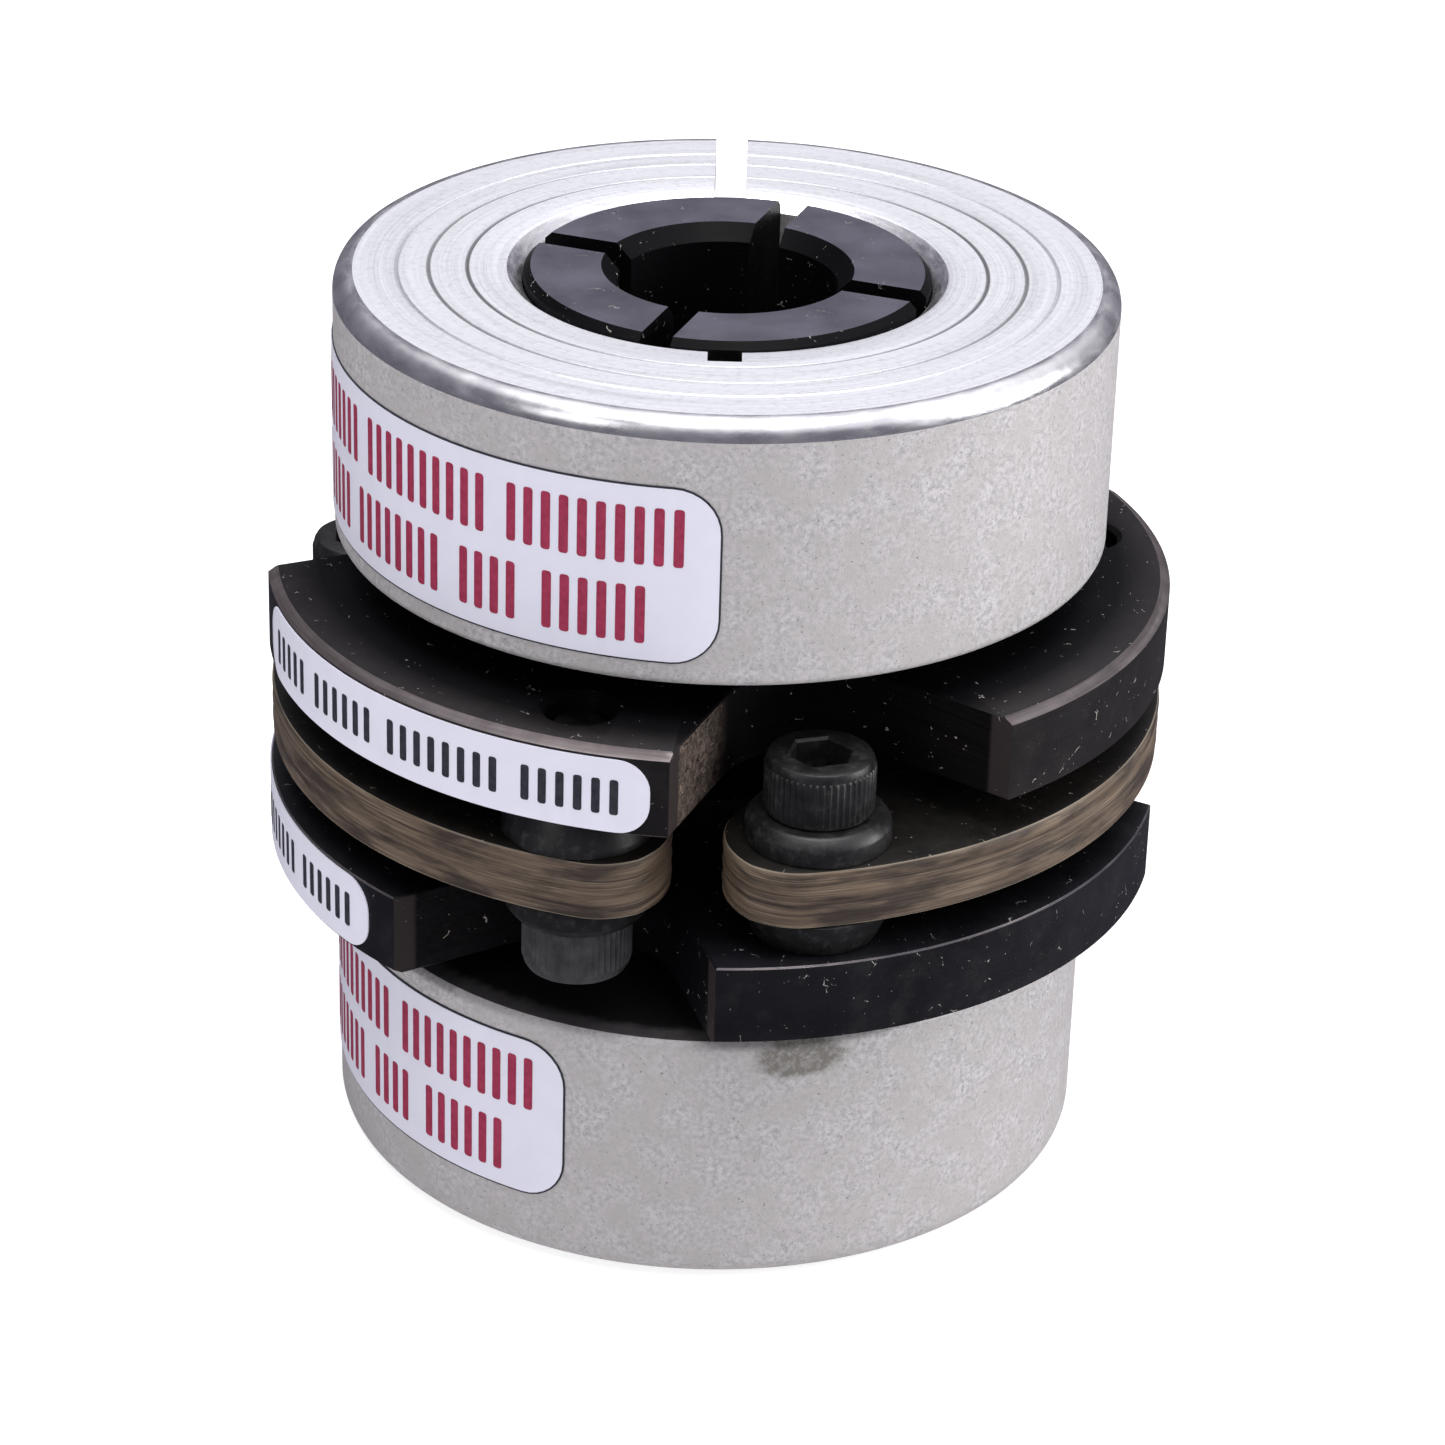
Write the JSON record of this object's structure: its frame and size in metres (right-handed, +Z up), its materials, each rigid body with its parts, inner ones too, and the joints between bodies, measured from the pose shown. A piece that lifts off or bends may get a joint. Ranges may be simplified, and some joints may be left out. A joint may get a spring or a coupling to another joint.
{
  "type": "flexible disc shaft coupling",
  "caption": "Single-flex disc shaft coupling: flanged hubs joined by curved fibre links, with split clamp rings on slotted sleeves.",
  "frame": {"origin": "bottom centre: on the shafts' axis, at the lower end of the lower hub, on the surface the coupling stands on", "axes": "+Z up along the shafts' axis, from the lower hub to the upper; -Y is the front, and the slits of the clamp rings are at the back, towards +Y"},
  "size_m": [0.0671, 0.0669, 0.0682],
  "materials": {
    "anodised_hub": "black anodised, satin, with faint turning marks",
    "bare_ring": "bare turned aluminium, satin, fine mottled grain",
    "black_screw": "black oxide steel, knurled head",
    "dark_collar": "black finished turned steel, satin",
    "fibre_link": "laminated fibre composite, matte, fine horizontal layers",
    "sticker": "printed vinyl sticker, satin"
  },
  "bodies": {
    "lower_hub_body": {"lower_hub": "anodised_hub", "lower_hub_label": "sticker", "lower_link_screw_1": "black_screw", "lower_link_screw_2": "black_screw", "lower_link_screw_3": "black_screw", "lower_washer_1": "dark_collar", "lower_washer_2": "dark_collar", "lower_washer_3": "dark_collar", "lower_spacer_1": "dark_collar", "lower_spacer_2": "dark_collar", "lower_spacer_3": "dark_collar"},
    "flex_tilt_body": {"flex_link_1": "fibre_link"},
    "flex_ring_body": {"flex_link_2": "fibre_link", "flex_link_3": "fibre_link"},
    "upper_hub_body": {"upper_hub": "anodised_hub", "upper_hub_label": "sticker", "upper_link_screw_1": "black_screw", "upper_link_screw_2": "black_screw", "upper_link_screw_3": "black_screw", "upper_washer_1": "dark_collar", "upper_washer_2": "dark_collar", "upper_washer_3": "dark_collar", "upper_spacer_1": "dark_collar", "upper_spacer_2": "dark_collar", "upper_spacer_3": "dark_collar"},
    "lower_ring_body": {"lower_clamp_ring": "bare_ring", "lower_ring_label": "sticker"},
    "upper_ring_body": {"upper_clamp_ring": "bare_ring", "upper_ring_label": "sticker"},
    "lower_clamp_screw_body": {"lower_clamp_screw": "black_screw"},
    "upper_clamp_screw_body": {"upper_clamp_screw": "black_screw"}
  },
  "joints": [
    {"name": "tilt_front_back", "type": "hinge", "parent": "lower_hub_body", "child": "flex_tilt_body", "pos_m": [0, 0, 0.0341], "axis": [1, 0, 0], "range_deg": [-2, 2], "stiffness_Nm_per_rad": 20, "deforming": ["flex_link_1"]},
    {"name": "tilt_side_side", "type": "hinge", "parent": "flex_tilt_body", "child": "flex_ring_body", "pos_m": [0, 0, 0.0341], "axis": [0, 1, 0], "range_deg": [-2, 2], "stiffness_Nm_per_rad": 20, "deforming": ["flex_link_2"]},
    {"name": "axial_float", "type": "slide", "parent": "flex_ring_body", "child": "upper_hub_body", "axis": [0, 0, 1], "range_m": [-0.0008, 0.0008], "stiffness_N_per_m": 15000, "deforming": ["flex_link_3"]},
    {"name": "lower_ring_turn", "type": "hinge", "parent": "lower_hub_body", "child": "lower_ring_body", "pos_m": [0, 0, 0.00997], "axis": [0, 0, 1], "continuous": true},
    {"name": "upper_ring_turn", "type": "hinge", "parent": "upper_hub_body", "child": "upper_ring_body", "pos_m": [0, 0, 0.05822], "axis": [0, 0, 1], "continuous": true},
    {"name": "lower_clamp_screw_turn", "type": "hinge", "parent": "lower_ring_body", "child": "lower_clamp_screw_body", "pos_m": [0, 0.0208, 0.00997], "axis": [-1, 0, 0], "range_deg": [0, 180]},
    {"name": "upper_clamp_screw_turn", "type": "hinge", "parent": "upper_ring_body", "child": "upper_clamp_screw_body", "pos_m": [0, 0.0208, 0.05822], "axis": [1, 0, 0], "range_deg": [0, 180]}
  ]
}
